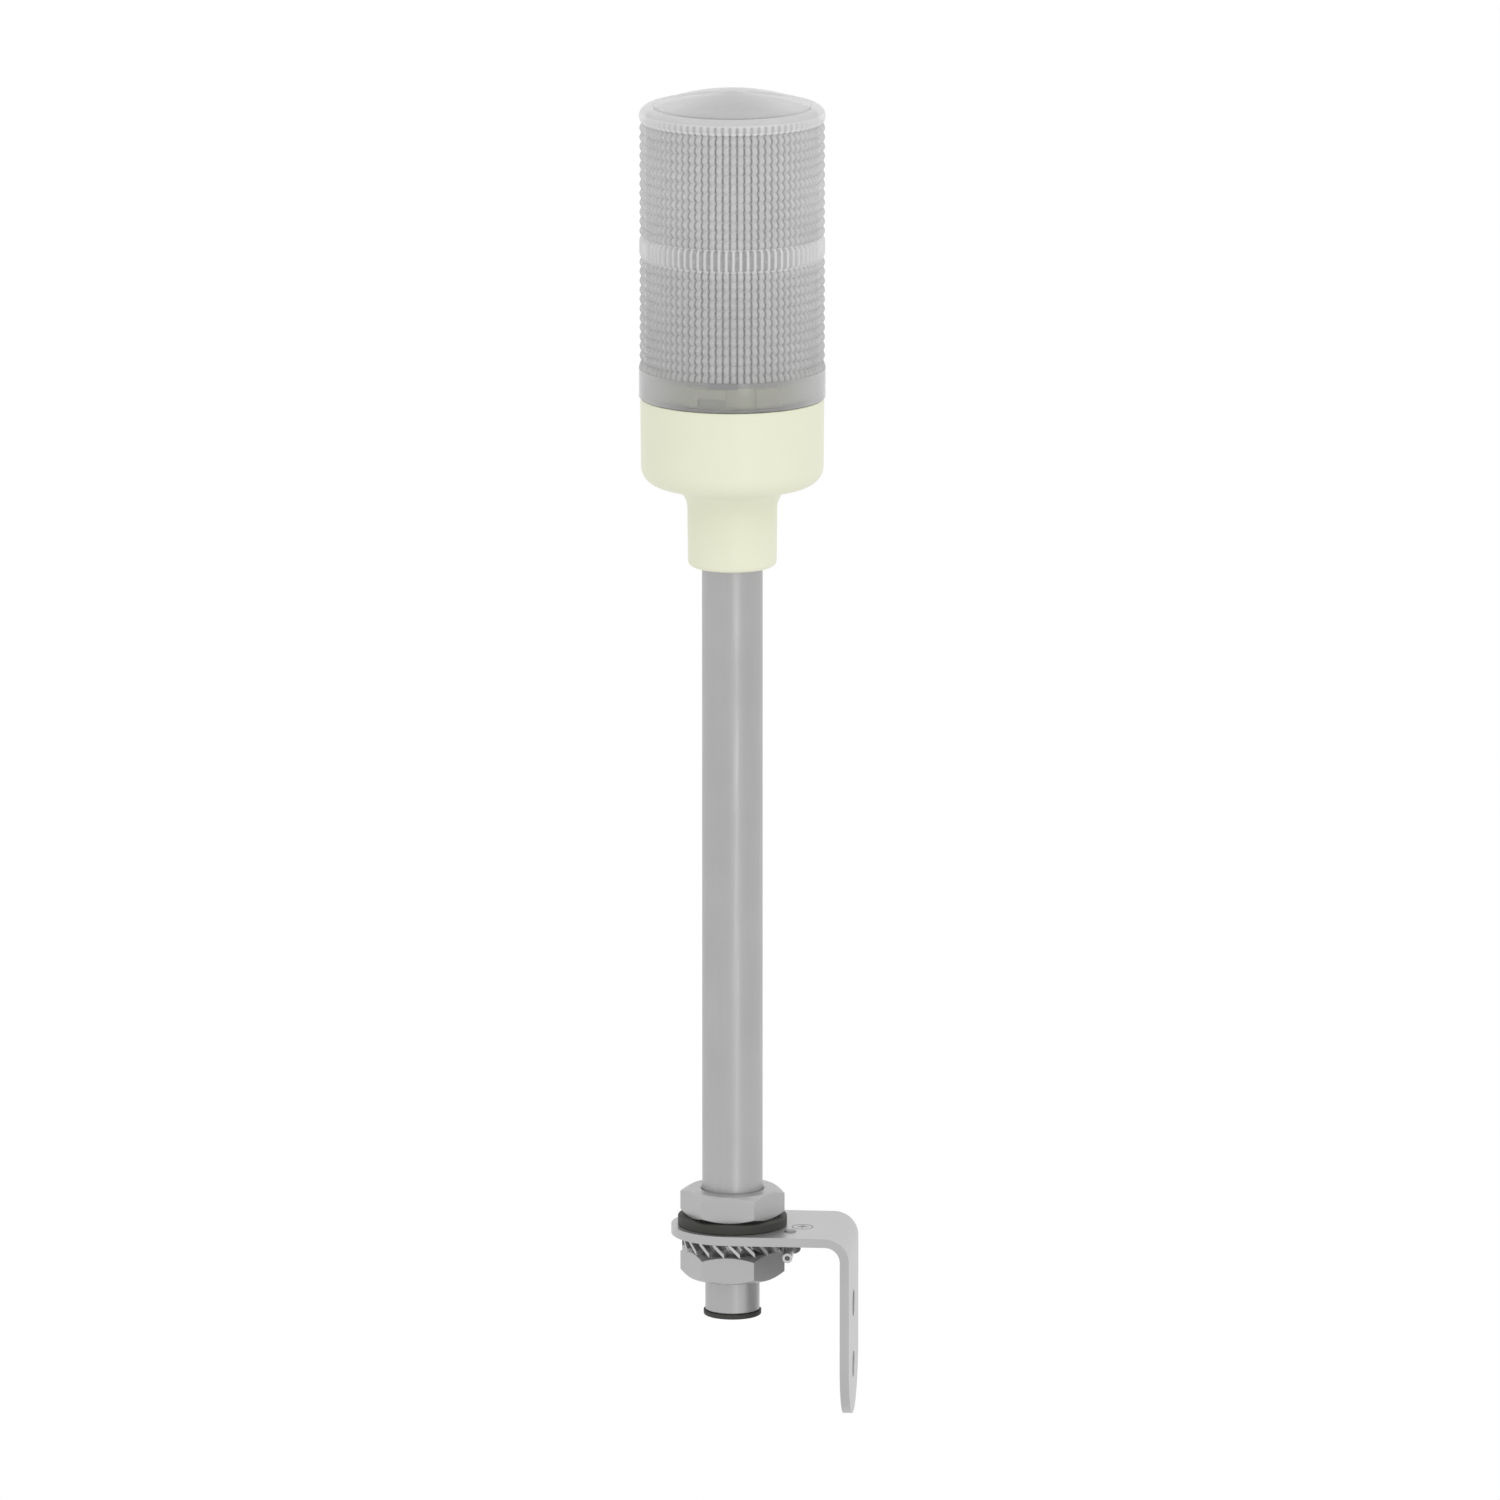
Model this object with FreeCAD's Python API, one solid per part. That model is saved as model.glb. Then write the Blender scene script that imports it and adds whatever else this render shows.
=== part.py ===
# Stack light: a clear ringed globe and a round base on a pole, held by an L-shaped wall bracket.
#
# Lengths are in millimetres and +Z is up. Every piece is drawn about the pole's axis, with z = 0 on
# the bracket plate's top face. save() then moves it into the part's own frame, whose origin lies on
# the leg's outer face, midway between the two wall holes, with +X pointing out of that face.
import FreeCAD, Part
import math
import os

os.makedirs("parts", exist_ok=True)
Vector = FreeCAD.Vector
UP = Vector(0, 0, 1)
CENTRE = Vector(0, 0, 0)

# ---------------------------------------------------------------- driving dimensions: bracket
SHEET = 3.0                    # thickness of the bracket's steel sheet
BRACKET_WIDTH = 40.5           # also the diameter of the half-round end
LEG_REACH = 40.2               # pole axis to the leg's outer face
LEG_DROP = 63.1                # plate's top face to the leg's lower end
BEND_INNER = 5.0               # inner radius of the bend
LEG_CORNER = 19.5              # radius of the leg's lower corners
WALL_HOLE = 9.0                # diameter of the two wall holes
WALL_HOLE_PITCH = 20.7
WALL_HOLE_LOW = 16.1           # leg's lower end to the lower hole's centre

# ---------------------------------------------------------------- driving dimensions: pole
POLE = 20.0                    # outside diameter of the tube
POLE_WALL = 2.5
POLE_END = 18.0                # diameter of the turned-down ends
POLE_HEIGHT = 221.9            # plate's top face to the underside of the neck
POLE_TAIL = 11.6               # bare tube below the lower nut
THREAD_GAP = 0.05              # radial play of a thread drawn plain
SLIP_GAP = 0.15                # radial play of a plain hole round the tube
SEAT_GAP = 0.02                # pieces clamped face to face, so that they never overlap
TURNED_EDGE = 0.4              # chamfer of the tube's ends and of small screw tips

# ---------------------------------------------------------------- driving dimensions: clamp
NUT_FLATS = 30.0
NUT_HEIGHT = 9.2
NUT_TURN = -1.0                # degrees from +X to the nuts' first corner
NUT_CHAMFER = 30.0             # degrees
NUT_FACE = 0.97                # diameter of a nut's face, as a share of its width across flats
NUT_SINK = 0.6                 # depth of the countersink at each end of a nut's thread
GASKET = 36.1                  # outside diameter of the rubber gasket
GASKET_HEIGHT = 3.0
GASKET_EDGE = 0.3
TOOTH_COUNT = 20
TOOTH_TIP = 33.4               # diameter over the lock washer's teeth
TOOTH_ROOT = 26.0              # outside diameter of the washer's plain ring
TOOTH_SHEET = 1.4              # thickness of the lock washer's sheet
TOOTH_TWIST_HEIGHT = 5.2       # height of the twisted teeth between plate and nut
TOOTH_SPAN = 3.9               # width of a tooth along the rim
TOOTH_TURN = 6.65              # degrees from +X to the first tooth
TOOTH_EMBED = 0.8              # how far a tooth's root reaches into the ring
TOOTH_BEND = 0.9               # length over which a tooth twists, outside the ring
GROMMET_FLANGE = 19.1          # diameter of the bush's rim below the tube
GROMMET_RIM = 1.6
GROMMET_PLUG = 6.0             # length of the bush inside the tube
GROMMET_BORE = 10.0
GROMMET_EDGE = 0.5

# ---------------------------------------------------------------- driving dimensions: earth point
EARTH_X = 20.0                 # pole axis to the earth screw, towards the leg
EARTH_Y = -10.3
EARTH_SCREW = 4.0              # thread diameter
EARTH_HEAD = 7.0
EARTH_HEAD_HEIGHT = 2.3
EARTH_HEAD_EDGE = 1.5
EARTH_TIP = 0.45               # how far the screw's tip stands above the plate
EARTH_RECESS = (3.6, 0.9, 1.3)  # length, width and depth of each arm's slot in the head
EARTH_WASHER = 7.0
EARTH_WASHER_SHEET = 1.0
EARTH_WASHER_SPLIT = 0.7
TERMINAL_SHEET = 0.8
TERMINAL_RING = 6.6
TERMINAL_BARREL = 3.3
TERMINAL_BARREL_BORE = 1.7
TERMINAL_BARREL_LENGTH = 4.8
TERMINAL_REACH = 11.8          # screw axis to the barrel's mouth
TERMINAL_DROOP = 5.0           # degrees
TERMINAL_CLEAR = 0.4           # from the screw's head to the start of the neck

# ---------------------------------------------------------------- driving dimensions: base
BASE = 60.3                    # outside diameter at the joint with the lens
BASE_DRAFT = 0.25              # radial taper of the wall towards the bottom
BASE_WALL = 2.6
BASE_HEIGHT = 29.0             # underside to the joint with the lens
BASE_CORNER = 6.3
NECK = 29.1                    # diameter at the neck's lower end
NECK_DRAFT = 0.3
NECK_HEIGHT = 27.2             # neck's lower end to the base's underside
NECK_FILLET = 8.0
NECK_EDGE = 1.8
FLOOR = 3.4                    # thickness of the base's floor
NECK_SEAL_SECTION = 1.6
NECK_SEAL_RISE = 4.0           # neck's lower end to the seal's groove
NECK_MOUTH = 0.5               # rounding of the neck's bore at its lower end
THREAD_REACH = 2.0             # from the tube's shoulder up to the base's underside
TUBE_PROUD = 1.5               # tube above the inner nut
LOCK_NUT_FLATS = 24.0
LOCK_NUT_HEIGHT = 5.0
LOCK_WASHER = 26.0
LOCK_WASHER_SHEET = 1.2

# ---------------------------------------------------------------- driving dimensions: lens
LENS = 61.2                    # outside diameter over the rings and the skirt
LENS_WALL = 2.4                # wall at the skirt
LENS_HEIGHT = 101.8            # joint with the base to the top of the dome
SKIRT = 12.45                  # joint to the centre of the lowest groove
RING_PITCH = 3.1
LOWER_RINGS = 11
UPPER_RINGS = 12
PLAIN_BAND = 7.3               # between the grooves on each side of the plain band
GROOVE_DEPTH = 0.62
RING_CREST = 1.3               # flat top of each ring
SHOULDER = 4.0                 # rounding between the side and the dome
DOME = 52.6                    # diameter of the dome's edge crease
DOME_RISE = 5.0
DOME_WALL = 2.0
FLUTE_COUNT = 80
FLUTE_DEPTH = 0.8
FLUTE_START = 10.1             # joint to the lower ends of the flutes
RIM_GAP = 0.25                 # between the lens's rim and the base
LUG_COUNT = 3
LUG_WIDTH = 19.0               # degrees
LUG_HEIGHT = 2.2
LUG_LOW = 1.7                  # joint to the lugs' lower faces
LUG_GAP = 0.3                  # play of a lug in its slot
LUG_TURN = -99.0               # degrees from +X to the first lug, locked
STOP_TURN = -91.2              # degrees from +X to the first stop rib, locked
TWIST = 20.0                   # degrees of turn from locked to free
LENS_GAP = 0.4                 # radial play between the lens and the collar
STOP_GAP = 0.05                # between the stop ribs and the collar's top edge
RIM_EDGE = 0.3                 # rounding of the rim
FLUTE_END = 1.1                # between the flutes' upper ends and the underside of the top
LIP = 1.1                      # width of the lens's rim outside the seal

# ---------------------------------------------------------------- driving dimensions: inside
CARRIER_FLOOR = 2.5
COLLAR_HEIGHT = 7.6            # joint to the collar's top edge
COLLAR_WALL = 2.8
SLOT_DEPTH = 1.4
CARRIER_DEPTH = 8.0            # joint down to the carrier's underside
SEAL_HEIGHT = 1.0
SEAL_GAP = 0.12                # between the seal and the lens
COLLAR_EDGE = 0.4
SCREW_COUNT = 3
SCREW_RADIUS = 17.5            # pole axis to the carrier's screws
BOSS = 6.5                     # diameter of the bosses and of the pillars over them
WEB = 1.6                      # thickness of the web behind each boss
SCREW = 3.0
SCREW_LENGTH = 16.0
SCREW_HEAD = 5.6
SCREW_HEAD_HEIGHT = 2.0
SCREW_RECESS = (3.0, 0.7, 1.0)
STANDOFF = 3.0
BOARD = 45.0                   # diameter of the driver board
BOARD_SHEET = 1.6
CONNECTOR = (14.0, 8.0, 9.0)   # length, width and height
CONNECTOR_CLEAR = 1.0
WIRE_COUNT = 4
WIRE_HOLE = 2.2
WIRE_HOLE_DEPTH = 5.0
CAPACITOR = (6.3, 8.0)         # diameter and height
CHIP = (5.0, 7.0, 2.0)
PART_CLEAR = 1.0               # between the post's foot and the parts beside it
POST = 14.0                    # width across the LED post
POST_WALL = 1.6
POST_FOOT = 22.0
POST_FOOT_SHEET = 2.0
LED_BOARD_WIDTH = 11.0
LED_BOARD_SHEET = 1.0
LED_ROWS = 8
LED_SIZE = (3.5, 2.8, 1.4)     # width, height and thickness of a chip
CAP_HEIGHT = 4.0
CAP_WALL = 1.2
DIFFUSER = 45.0                # outside diameter of the milky sleeve's foot, inside the collar
DIFFUSER_GAP = 1.0             # between the sleeve's wide part and the lens's flutes
DIFFUSER_LIFT = 1.0            # collar's top edge to the start of the sleeve's flare
DIFFUSER_FLARE = 2.5           # height of the flare
DIFFUSER_BEND = 1.5            # rounding at each end of the flare
DIFFUSER_DRAFT = 0.4
DIFFUSER_WALL = 1.2
DIFFUSER_CORNER = 5.0
DIFFUSER_TOP_GAP = 1.5         # between the sleeve's top and the lens's inner ledge
DIFFUSER_CLEAR = 2.6           # between the sleeve's top and the post's cap

# ---------------------------------------------------------------- places worked out from them
plate_low = -SHEET
wall_hole_mid = -LEG_DROP + WALL_HOLE_LOW + WALL_HOLE_PITCH / 2
upper_nut_low = GASKET_HEIGHT + SEAT_GAP
lower_nut_top = plate_low - TOOTH_TWIST_HEIGHT - 2 * SEAT_GAP
lower_nut_low = lower_nut_top - NUT_HEIGHT
pole_low = lower_nut_low - POLE_TAIL
pole_bore = POLE - 2 * POLE_WALL
base_low = POLE_HEIGHT + NECK_HEIGHT
joint = base_low + BASE_HEIGHT
floor_top = base_low + FLOOR
tube_shoulder = base_low - THREAD_REACH
lock_nut_low = floor_top + LOCK_WASHER_SHEET + 2 * SEAT_GAP
pole_top = lock_nut_low + LOCK_NUT_HEIGHT + TUBE_PROUD
base_inner = BASE / 2 - BASE_WALL
skirt_inner = LENS / 2 - LENS_WALL
collar_outer = skirt_inner - LENS_GAP
collar_inner = collar_outer - COLLAR_WALL
collar_top = joint + COLLAR_HEIGHT
carrier_low = joint - CARRIER_DEPTH
carrier_floor_top = carrier_low + CARRIER_FLOOR
board_low = carrier_floor_top + STANDOFF + SEAT_GAP
board_top = board_low + BOARD_SHEET
lens_ledge = joint + LENS_HEIGHT - DOME_RISE
inner_ledge = lens_ledge - DOME_WALL
flute_inner = skirt_inner - FLUTE_DEPTH
diffuser_top = inner_ledge - DIFFUSER_TOP_GAP
post_low = board_top + SEAT_GAP
cap_top = diffuser_top - DIFFUSER_WALL - DIFFUSER_CLEAR
post_top = cap_top - CAP_WALL - SEAT_GAP


def ring(outer, inner, low, high):
    """A plain ring between two heights; outer and inner are diameters."""
    body = Part.makeCylinder(outer / 2, high - low, Vector(0, 0, low))
    return body.cut(Part.makeCylinder(inner / 2, high - low + 2, Vector(0, 0, low - 1)))


def box(x_size, y_size, low, high):
    """A box centred on the axis between two heights."""
    return Part.makeBox(x_size, y_size, high - low, Vector(-x_size / 2, -y_size / 2, low))


def rounded_wire(corners):
    """A closed wire in the XZ plane through (x, z, radius) corners, each rounded to its radius."""
    places = [Vector(x, 0, z) for x, z, radius in corners]
    turns = []
    for index, (x, z, radius) in enumerate(corners):
        here = places[index]
        if radius == 0:
            turns.append((here, None, here))
            continue
        back = (places[index - 1] - here).normalize()
        ahead = (places[(index + 1) % len(places)] - here).normalize()
        half = back.getAngle(ahead) / 2
        inward = (back + ahead).normalize()
        middle = here + inward * (radius / math.sin(half) - radius)
        reach = radius / math.tan(half)
        turns.append((here + back * reach, middle, here + ahead * reach))
    edges = []
    for index, (start, middle, end) in enumerate(turns):
        following = turns[(index + 1) % len(turns)][0]
        if middle:
            edges.append(Part.Arc(start, middle, end).toShape())
        if (following - end).Length > 1e-6:
            edges.append(Part.makeLine(end, following))
    return Part.Wire(edges)


def turned(corners):
    """A solid of revolution about the pole's axis from (radius, z, rounding) corners."""
    return Part.Face(rounded_wire(corners)).revolve(CENTRE, UP, 360)


def hexagon(flats, low, high, turn):
    """A hexagonal bar, with its first corner turned from +X."""
    corner = flats / math.sqrt(3)
    points = []
    for step in range(7):
        angle = math.radians(60 * step + turn)
        points.append(Vector(corner * math.cos(angle), corner * math.sin(angle), low))
    return Part.Face(Part.makePolygon(points)).extrude(Vector(0, 0, high - low))


def hex_nut(flats, bore, low, height, turn):
    """A hex nut, chamfered on both faces, with a small countersink at each end of its thread."""
    high = low + height
    corner = flats / math.sqrt(3)
    face = flats / 2 * NUT_FACE
    drop = (corner - face) * math.tan(math.radians(NUT_CHAMFER))
    envelope = turned([
        (0, low, 0), (face, low, 0), (corner, low + drop, 0),
        (corner, high - drop, 0), (face, high, 0), (0, high, 0)])
    thread = turned([
        (0, low - 1, 0), (bore / 2 + NUT_SINK + 1, low - 1, 0), (bore / 2, low + NUT_SINK, 0),
        (bore / 2, high - NUT_SINK, 0), (bore / 2 + NUT_SINK + 1, high + 1, 0), (0, high + 1, 0)])
    return hexagon(flats, low, high, turn).common(envelope).cut(thread)


def around(shape, angle):
    """A copy of a shape, turned about the pole's axis."""
    copy = shape.copy()
    copy.rotate(CENTRE, UP, angle)
    return copy


def save(name, shape):
    """Move a piece into the part's own frame and write it."""
    moved = shape.copy()
    moved.translate(Vector(-LEG_REACH, 0, -wall_hole_mid))
    moved.exportStep("parts/" + name + ".step")


# ---------------------------------------------------------------- bracket and clamp
def bracket():
    """The bent sheet: plate with a half-round end, bend, and leg with rounded lower corners."""
    half = BRACKET_WIDTH / 2
    side = Part.Face(rounded_wire([
        (-half, 0, 0), (LEG_REACH, 0, BEND_INNER + SHEET), (LEG_REACH, -LEG_DROP, 0),
        (LEG_REACH - SHEET, -LEG_DROP, 0), (LEG_REACH - SHEET, plate_low, BEND_INNER),
        (-half, plate_low, 0)]))
    side.translate(Vector(0, -half, 0))
    sheet = side.extrude(Vector(0, BRACKET_WIDTH, 0))

    plan = Part.makeCylinder(half, SHEET + 2, Vector(0, 0, plate_low - 1))
    beyond = Part.makeBox(LEG_REACH, BRACKET_WIDTH, LEG_DROP + 2, Vector(0, -half, -LEG_DROP - 1))
    front = Part.Face(rounded_wire([
        (-half, 1, 0), (half, 1, 0), (half, -LEG_DROP, LEG_CORNER), (-half, -LEG_DROP, LEG_CORNER)]))
    front.translate(Vector(0, half + 1, 0))
    outline = around(front.extrude(Vector(0, -LEG_REACH - BRACKET_WIDTH, 0)), 90)
    sheet = sheet.common(plan.fuse(beyond)).common(outline)

    pole_hole = Part.makeCylinder(POLE / 2 + SLIP_GAP, SHEET + 2, Vector(0, 0, plate_low - 1))
    earth_hole = Part.makeCylinder(
        EARTH_SCREW / 2 + THREAD_GAP, SHEET + 2, Vector(EARTH_X, EARTH_Y, plate_low - 1))
    sheet = sheet.cut(pole_hole).cut(earth_hole)
    for side_of_middle in (-1, 1):
        height = wall_hole_mid + side_of_middle * WALL_HOLE_PITCH / 2
        sheet = sheet.cut(Part.makeCylinder(
            WALL_HOLE / 2, SHEET + 2, Vector(LEG_REACH - SHEET - 1, 0, height), Vector(1, 0, 0)))
    return sheet


def pole_tube():
    """The tube, with a turned-down end at each nut that needs one."""
    bore = pole_bore / 2
    small = POLE_END / 2
    large = POLE / 2
    step = lower_nut_low + NUT_SINK
    edge = TURNED_EDGE
    return turned([
        (bore, pole_low, 0), (small - edge, pole_low, 0), (small, pole_low + edge, 0),
        (small, step, 0), (large, step + (large - small), 0), (large, tube_shoulder, 0),
        (small, tube_shoulder, 0), (small, pole_top - edge, 0), (small - edge, pole_top, 0),
        (bore, pole_top, 0)])


def rubber_gasket():
    """The rubber disc between the upper nut and the plate."""
    outer = GASKET / 2
    inner = POLE / 2 + SLIP_GAP
    return turned([
        (inner, SEAT_GAP, 0), (outer, SEAT_GAP, GASKET_EDGE), (outer, GASKET_HEIGHT, GASKET_EDGE),
        (inner, GASKET_HEIGHT, 0)])


def facet(points):
    """A flat face through a few points."""
    return Part.Face(Part.makePolygon(points + points[:1]))


def lock_tooth():
    """One twisted tooth along +X: level inside the washer's ring, slanted from there to its tip."""
    middle = plate_low - SEAT_GAP - TOOTH_TWIST_HEIGHT / 2
    half_span = TOOTH_SPAN / 2
    half_sheet = TOOTH_SHEET / 2
    lift = TOOTH_TWIST_HEIGHT / 2 - half_sheet

    def section(radius, rise, half_height):
        corners = ((-1, -1), (1, -1), (1, 1), (-1, 1))
        return [Vector(radius, side * half_span, middle - side * rise + face * half_height)
                for side, face in corners]

    root = section(TOOTH_ROOT / 2 - TOOTH_EMBED, 0, half_sheet - SLIP_GAP)
    bend = section(TOOTH_ROOT / 2 + TOOTH_BEND, lift, half_sheet)
    tip = section(TOOTH_TIP / 2, lift, half_sheet)
    faces = [facet(root), facet(tip)]
    for corner in range(4):
        beside = (corner + 1) % 4
        faces.append(facet([bend[corner], bend[beside], tip[beside], tip[corner]]))
        faces.append(facet([root[corner], root[beside], bend[beside]]))
        faces.append(facet([root[corner], bend[beside], bend[corner]]))
    return Part.makeSolid(Part.makeShell(faces))


def toothed_washer():
    """The lock washer: a plain ring with twisted teeth all round its rim."""
    middle = plate_low - SEAT_GAP - TOOTH_TWIST_HEIGHT / 2
    body = ring(TOOTH_ROOT, POLE + 2 * SLIP_GAP, middle - TOOTH_SHEET / 2, middle + TOOTH_SHEET / 2)
    teeth = [around(lock_tooth(), TOOTH_TURN + 360 / TOOTH_COUNT * step) for step in range(TOOTH_COUNT)]
    return body.fuse(teeth)


def end_grommet():
    """The bush in the tube's lower end: a rim below the tube and a plug inside it."""
    rim_top = pole_low - SEAT_GAP
    rim_low = rim_top - GROMMET_RIM
    rim = GROMMET_FLANGE / 2
    plug = pole_bore / 2 - THREAD_GAP
    bore = GROMMET_BORE / 2
    return turned([
        (bore, rim_low, 0), (rim, rim_low, GROMMET_EDGE), (rim, rim_top, 0), (plug, rim_top, 0),
        (plug, rim_top + GROMMET_PLUG, 0), (bore, rim_top + GROMMET_PLUG, 0)])


# ---------------------------------------------------------------- earth point
washer_top = plate_low - SEAT_GAP
washer_low = washer_top - EARTH_WASHER_SHEET
tongue_top = washer_low - SEAT_GAP
tongue_low = tongue_top - TERMINAL_SHEET
head_top = tongue_low - SEAT_GAP


def at_earth(shape):
    """A copy of a shape, moved from the pole's axis to the earth screw's."""
    copy = shape.copy()
    copy.translate(Vector(EARTH_X, EARTH_Y, 0))
    return copy


def earth_screw():
    """A pan-head screw driven upward, with a cross recess in its head and its tip just proud."""
    head_low = head_top - EARTH_HEAD_HEIGHT
    shank = EARTH_SCREW / 2
    edge = TURNED_EDGE
    length, width, depth = EARTH_RECESS
    body = turned([
        (0, head_low, 0), (EARTH_HEAD / 2, head_low, EARTH_HEAD_EDGE), (EARTH_HEAD / 2, head_top, 0),
        (shank, head_top, 0), (shank, EARTH_TIP - edge, 0), (shank - edge, EARTH_TIP, 0),
        (0, EARTH_TIP, 0)])
    recess = box(length, width, head_low - 1, head_low + depth)
    return at_earth(body.cut(recess).cut(around(recess, 90)))


def earth_spring_washer():
    """A split spring washer."""
    body = ring(EARTH_WASHER, EARTH_SCREW + 2 * SLIP_GAP, washer_low, washer_top)
    split = box(EARTH_WASHER, EARTH_WASHER_SPLIT, washer_low - 1, washer_top + 1)
    split.translate(Vector(EARTH_WASHER / 2, 0, 0))
    return at_earth(body.cut(around(split, 35)))


def ring_terminal():
    """An empty crimp terminal: a flat ring and strap, a tapering neck and a hollow barrel that droops."""
    tongue = ring(TERMINAL_RING, EARTH_SCREW + 2 * SLIP_GAP, tongue_low, tongue_top)
    radius = TERMINAL_BARREL / 2
    strap_start = -(TERMINAL_RING + EARTH_SCREW) / 4
    neck_start = -EARTH_HEAD / 2 - TERMINAL_CLEAR
    neck_end = -TERMINAL_REACH + TERMINAL_BARREL_LENGTH
    axis_z = tongue_top - radius
    strap = Part.makeBox(
        2 * radius, strap_start - neck_start, TERMINAL_SHEET, Vector(-radius, neck_start, tongue_low))

    flat = Part.makePolygon([
        Vector(x, neck_start, z) for x, z in (
            (-radius, tongue_low), (radius, tongue_low), (radius, tongue_top),
            (-radius, tongue_top), (-radius, tongue_low))])
    mouth = Part.Wire(Part.makeCircle(radius, Vector(0, neck_end, axis_z), Vector(0, -1, 0)))
    neck = Part.makeLoft([flat, mouth], True, False)
    barrel = Part.makeCylinder(
        radius, TERMINAL_BARREL_LENGTH, Vector(0, neck_end, axis_z), Vector(0, -1, 0))
    bore = Part.makeCylinder(
        TERMINAL_BARREL_BORE / 2, TERMINAL_BARREL_LENGTH + 1,
        Vector(0, neck_end, axis_z), Vector(0, -1, 0))
    tail = neck.fuse(barrel).cut(bore)
    tail.rotate(Vector(0, neck_start, tongue_top), Vector(1, 0, 0), TERMINAL_DROOP)
    return at_earth(tongue.fuse([strap, tail]))


# ---------------------------------------------------------------- base
def at_screws(shape):
    """Copies of a shape drawn on the pole's axis, one at each of the carrier's screws."""
    outward = shape.copy()
    outward.translate(Vector(SCREW_RADIUS, 0, 0))
    return [around(outward, 90 + 360 / SCREW_COUNT * step) for step in range(SCREW_COUNT)]


def base_housing():
    """The moulded body: rounded cup, concave fillet and neck, with three bosses inside."""
    top = BASE / 2
    bottom = top - BASE_DRAFT
    neck_low = NECK / 2
    neck_high = neck_low + NECK_DRAFT
    tube = POLE / 2 + SLIP_GAP
    thread = POLE_END / 2 + SLIP_GAP
    groove = POLE / 2 + 2 * THREAD_GAP + NECK_SEAL_SECTION
    groove_low = POLE_HEIGHT + NECK_SEAL_RISE
    groove_high = groove_low + NECK_SEAL_SECTION + 2 * THREAD_GAP
    body = turned([
        (tube, POLE_HEIGHT, NECK_MOUTH), (neck_low, POLE_HEIGHT, NECK_EDGE),
        (neck_high, base_low, NECK_FILLET), (bottom, base_low, BASE_CORNER),
        (top, joint, 0), (base_inner, joint, 0), (base_inner, floor_top, BASE_CORNER - BASE_WALL),
        (thread, floor_top, 0), (thread, tube_shoulder + SEAT_GAP, 0),
        (tube, tube_shoulder + SEAT_GAP, 0), (tube, groove_high, 0), (groove, groove_high, 0),
        (groove, groove_low, 0), (tube, groove_low, 0)])
    boss_top = carrier_low - SEAT_GAP
    boss = Part.makeCylinder(BOSS / 2, boss_top - floor_top + 1, Vector(0, 0, floor_top - 1))
    web = Part.makeBox(
        base_inner - SCREW_RADIUS - BOSS / 4, WEB, boss_top - STANDOFF - floor_top,
        Vector(BOSS / 4 + 0.5, -WEB / 2, floor_top))
    hole_low = board_top + SEAT_GAP - SCREW_LENGTH - 1
    pilot = Part.makeCylinder(SCREW / 2 + THREAD_GAP, boss_top + 1 - hole_low, Vector(0, 0, hole_low))
    return body.fuse(at_screws(boss) + at_screws(web)).cut(at_screws(pilot))


def neck_seal():
    """The round-section seal in the neck's groove, against the tube."""
    section = NECK_SEAL_SECTION / 2
    centre = Vector(0, 0, POLE_HEIGHT + NECK_SEAL_RISE + THREAD_GAP + section)
    return Part.makeTorus(POLE / 2 + THREAD_GAP + section, section, centre, UP)


def pole_lock_washer():
    """The plain washer on the base's floor."""
    low = floor_top + SEAT_GAP
    return ring(LOCK_WASHER, POLE_END + 2 * SLIP_GAP, low, low + LOCK_WASHER_SHEET)


def sector(outer, inner, low, high, middle, width):
    """A piece of a ring: radii, heights, then its middle direction and width in degrees."""
    body = Part.makeCylinder(outer, high - low, Vector(0, 0, low), UP, width)
    body = body.cut(Part.makeCylinder(inner, high - low + 2, Vector(0, 0, low - 1)))
    return around(body, middle - width / 2)


def bayonet_carrier():
    """The collar that the lens locks on, with a floor that carries the boards."""
    plug = base_inner - SLIP_GAP
    body = turned([
        (0, carrier_low, 0), (plug, carrier_low, 0), (plug, joint + SEAT_GAP, 0),
        (collar_outer, joint + SEAT_GAP, 0), (collar_outer, collar_top, COLLAR_EDGE),
        (collar_inner, collar_top, COLLAR_EDGE), (collar_inner, carrier_floor_top, 1.0),
        (0, carrier_floor_top, 0)])
    pillar = Part.makeCylinder(BOSS / 2, STANDOFF + 0.5, Vector(0, 0, carrier_floor_top - 0.5))
    screw_hole = Part.makeCylinder(SCREW / 2 + SLIP_GAP, CARRIER_DEPTH, Vector(0, 0, carrier_low - 1))
    length, width, height = CONNECTOR
    wires = box(
        length + 2 * CONNECTOR_CLEAR, width + 2 * CONNECTOR_CLEAR, carrier_low - 1, carrier_floor_top + 1)

    play = math.degrees(LUG_GAP / collar_outer)
    slot_low = joint + LUG_LOW - LUG_GAP
    slot_high = joint + LUG_LOW + LUG_HEIGHT + LUG_GAP
    wide = LUG_WIDTH + 2 * play
    slots = []
    for step in range(LUG_COUNT):
        locked = LUG_TURN + 360 / LUG_COUNT * step
        floor_radius = collar_outer - SLOT_DEPTH
        slots.append(sector(
            collar_outer + 1, floor_radius, slot_low, collar_top + 1, locked + TWIST, wide))
        slots.append(sector(
            collar_outer + 1, floor_radius, slot_low, slot_high, locked + TWIST / 2, wide + TWIST))
    return body.fuse(at_screws(pillar)).cut(at_screws(screw_hole) + [wires] + slots)


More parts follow.
